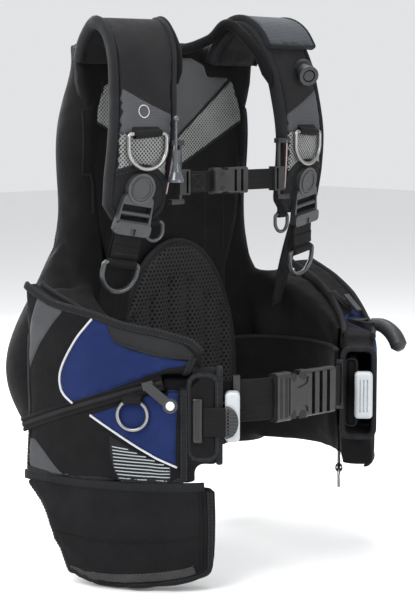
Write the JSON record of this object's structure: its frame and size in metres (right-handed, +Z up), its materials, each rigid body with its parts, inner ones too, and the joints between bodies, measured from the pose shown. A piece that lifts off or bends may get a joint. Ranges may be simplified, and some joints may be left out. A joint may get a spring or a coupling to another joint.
{
  "type": "buoyancy compensator vest",
  "caption": "Diver's jacket with padded shoulder straps, chest and waist buckles, cargo pockets, weight pouches and a band and plate that hold one cylinder",
  "frame": {"origin": "centre of the tank band on the axis of the cylinder it closes on", "axes": "+Z up along the cylinder's axis; the wearer faces -Y; +X is the wearer's left"},
  "size_m": [0.491, 0.4723, 0.672],
  "materials": {
    "cell_nylon": "coated woven nylon",
    "pocket_fabric": "woven polyester",
    "lining_fabric": "satin lining",
    "mesh_pad": "open spacer mesh",
    "strap_fabric": "ribbed padded nylon",
    "neoprene": "soft knit over foam",
    "webbing": "woven webbing",
    "pouch_fabric": "woven nylon",
    "hard_black": "moulded",
    "swivel_plastic": "satin moulded",
    "zip_plastic": "moulded coil",
    "ring_plastic": "coated",
    "steel": "polished stainless",
    "grey_handle": "moulded",
    "dark_rubber": "moulded"
  },
  "bodies": {
    "vest": {"air_cell_back": "cell_nylon", "air_cell_right": "cell_nylon", "air_cell_left": "cell_nylon", "back_lining": "lining_fabric", "lumbar_pad": "mesh_pad", "neck_collar": "neoprene", "backpack_plate": "hard_black", "tank_band": "webbing", "cam_buckle_frame": "hard_black", "carry_handle": "webbing", "shoulder_pad_right": "strap_fabric", "shoulder_pad_left": "strap_fabric", "ring_tabs": "webbing", "chest_rails": "hard_black", "anchor_webbing_right": "webbing", "anchor_webbing_left": "webbing", "swivel_button_right": "swivel_plastic", "swivel_button_left": "swivel_plastic", "waistband": "neoprene", "waist_strap_right": "webbing", "waist_strap_left": "webbing", "waist_buckle_socket": "hard_black", "waist_strap_keepers": "hard_black", "pocket_right": "pocket_fabric", "pocket_left": "pocket_fabric", "zippers": "zip_plastic", "drop_pocket": "cell_nylon", "inflator_housing": "hard_black", "air_valve_bodies": "hard_black"},
    "shoulder_ring_right": {"shoulder_ring_right": "steel"},
    "end_ring_right": {"end_ring_right": "ring_plastic"},
    "swivel_right": {"swivel_right": "swivel_plastic", "strap_tail_right": "webbing"},
    "pull_ring_right": {"pull_ring_right": "ring_plastic"},
    "shoulder_ring_left": {"shoulder_ring_left": "steel"},
    "end_ring_left": {"end_ring_left": "ring_plastic"},
    "swivel_left": {"swivel_left": "swivel_plastic", "strap_tail_left": "webbing"},
    "pull_ring_left": {"pull_ring_left": "ring_plastic"},
    "chest_right": {"chest_slider_right": "hard_black", "chest_strap_right": "webbing", "chest_buckle_socket": "hard_black"},
    "chest_left": {"chest_slider_left": "hard_black", "chest_strap_left": "webbing"},
    "chest_plug": {"chest_buckle_plug": "hard_black"},
    "waist_plug": {"waist_buckle_plug": "hard_black"},
    "dump_toggle": {"dump_toggle": "dark_rubber"},
    "zip_slider_right": {"zip_slider_right": "zip_plastic"},
    "zip_pull_right": {"zip_pull_right": "zip_plastic"},
    "zip_slider_left": {"zip_slider_left": "zip_plastic"},
    "pocket_ring_right": {"pocket_ring_right": "steel"},
    "lower_ring_left": {"lower_ring_left": "steel"},
    "weight_right": {"weight_pouch_right": "pouch_fabric", "weight_handle_right": "grey_handle"},
    "weight_left": {"weight_pouch_left": "pouch_fabric", "weight_handle_left": "grey_handle"},
    "inflator_lever": {"inflator_lever": "dark_rubber"},
    "cam_lever": {"cam_lever": "hard_black"},
    "mouthpiece_button": {"mouthpiece_button": "hard_black"},
    "shoulder_flap": {"shoulder_flap": "strap_fabric"}
  },
  "joints": [
    {"name": "shoulder_ring_right_hinge", "type": "hinge", "parent": "vest", "child": "shoulder_ring_right", "pos_m": [-0.13491, -0.22745, 0.239], "axis": [0.9885, -0.1513, 0], "range_deg": [-100, 0]},
    {"name": "end_ring_right_hinge", "type": "hinge", "parent": "vest", "child": "end_ring_right", "pos_m": [-0.10845, -0.20662, 0.1336], "axis": [0.9885, -0.1513, 0], "range_deg": [0, 40]},
    {"name": "swivel_right_turn", "type": "hinge", "parent": "vest", "child": "swivel_right", "pos_m": [-0.13916, -0.21557, 0.176], "axis": [-0.149, -0.9735, -0.1736], "range_deg": [-15, 15], "deforming": ["anchor_webbing_right"]},
    {"name": "pull_ring_right_hinge", "type": "hinge", "parent": "swivel_right", "child": "pull_ring_right", "pos_m": [-0.15227, -0.19983, 0.08628], "axis": [0.979, -0.1205, -0.1642], "range_deg": [-80, 0]},
    {"name": "shoulder_ring_left_hinge", "type": "hinge", "parent": "vest", "child": "shoulder_ring_left", "pos_m": [0.13491, -0.22745, 0.239], "axis": [0.9885, 0.1513, 0], "range_deg": [-100, 0]},
    {"name": "end_ring_left_hinge", "type": "hinge", "parent": "vest", "child": "end_ring_left", "pos_m": [0.10845, -0.20662, 0.1336], "axis": [0.9885, 0.1513, 0], "range_deg": [0, 40]},
    {"name": "swivel_left_turn", "type": "hinge", "parent": "vest", "child": "swivel_left", "pos_m": [0.13916, -0.21557, 0.176], "axis": [0.149, -0.9735, -0.1736], "range_deg": [-15, 15], "deforming": ["anchor_webbing_left"]},
    {"name": "pull_ring_left_hinge", "type": "hinge", "parent": "swivel_left", "child": "pull_ring_left", "pos_m": [0.15227, -0.19983, 0.08628], "axis": [0.979, 0.1205, 0.1642], "range_deg": [-80, 0]},
    {"name": "chest_slider_right_slide", "type": "slide", "parent": "vest", "child": "chest_right", "axis": [0, 0, 1], "range_m": [-0.004, 0.026]},
    {"name": "chest_slider_left_slide", "type": "slide", "parent": "vest", "child": "chest_left", "axis": [0, 0, 1], "range_m": [-0.004, 0.026]},
    {"name": "chest_buckle_release", "type": "slide", "parent": "chest_left", "child": "chest_plug", "axis": [1, 0, 0], "range_m": [0, 0.024], "deforming": ["chest_strap_left"]},
    {"name": "waist_buckle_release", "type": "slide", "parent": "vest", "child": "waist_plug", "axis": [1, 0, 0], "range_m": [0, 0.03], "deforming": ["waist_strap_left"]},
    {"name": "dump_toggle_pull", "type": "slide", "parent": "vest", "child": "dump_toggle", "axis": [0, 0, -1], "range_m": [0, 0.012], "stiffness_N_per_m": 300},
    {"name": "zip_right_travel", "type": "hinge", "parent": "vest", "child": "zip_slider_right", "pos_m": [0.0192, -0.13, -0.102], "axis": [0, 0.342, 0.9397], "range_deg": [-36, 2]},
    {"name": "zip_pull_right_hinge", "type": "hinge", "parent": "zip_slider_right", "child": "zip_pull_right", "pos_m": [-0.19197, -0.28841, -0.04435], "axis": [0.6239, -0.7344, 0.2673], "range_deg": [-60, 0]},
    {"name": "zip_left_travel", "type": "slide", "parent": "vest", "child": "zip_slider_left", "axis": [0.0247, 0.8658, 0.4997], "range_m": [0, 0.02]},
    {"name": "pocket_ring_right_hinge", "type": "hinge", "parent": "vest", "child": "pocket_ring_right", "pos_m": [-0.19707, -0.2699, -0.063], "axis": [0.5948, -0.8039, 0], "range_deg": [-85, 0]},
    {"name": "lower_ring_left_hinge", "type": "hinge", "parent": "vest", "child": "lower_ring_left", "pos_m": [0.1463, -0.2752, -0.19], "axis": [0.7254, 0.6884, 0], "range_deg": [-45, 45]},
    {"name": "weight_right_pull", "type": "slide", "parent": "vest", "child": "weight_right", "axis": [0.7254, -0.6884, 0], "range_m": [0, 0.1]},
    {"name": "weight_left_pull", "type": "slide", "parent": "vest", "child": "weight_left", "axis": [-0.7254, -0.6884, 0], "range_m": [0, 0.026]},
    {"name": "inflator_lever_hinge", "type": "hinge", "parent": "vest", "child": "inflator_lever", "pos_m": [0.197, -0.284, -0.008], "axis": [0.9703, 0.2419, 0], "range_deg": [-15, 15], "stiffness_Nm_per_rad": 0.5},
    {"name": "cam_lever_hinge", "type": "hinge", "parent": "vest", "child": "cam_lever", "pos_m": [0.025, 0.1072, 0], "axis": [0, 0, 1], "range_deg": [-110, 0]},
    {"name": "mouthpiece_button_press", "type": "slide", "parent": "vest", "child": "mouthpiece_button", "axis": [0.4064, 0.8598, 0.309], "range_m": [0, 0.003], "stiffness_N_per_m": 400},
    {"name": "shoulder_flap_hinge", "type": "hinge", "parent": "vest", "child": "shoulder_flap", "pos_m": [0.11942, -0.12623, 0.36297], "axis": [0.9885, 0.1513, 0], "range_deg": [-100, 0]}
  ],
  "couplings": [
    {"joint": "chest_slider_left_slide", "follows": "chest_slider_right_slide", "ratio": 1}
  ]
}
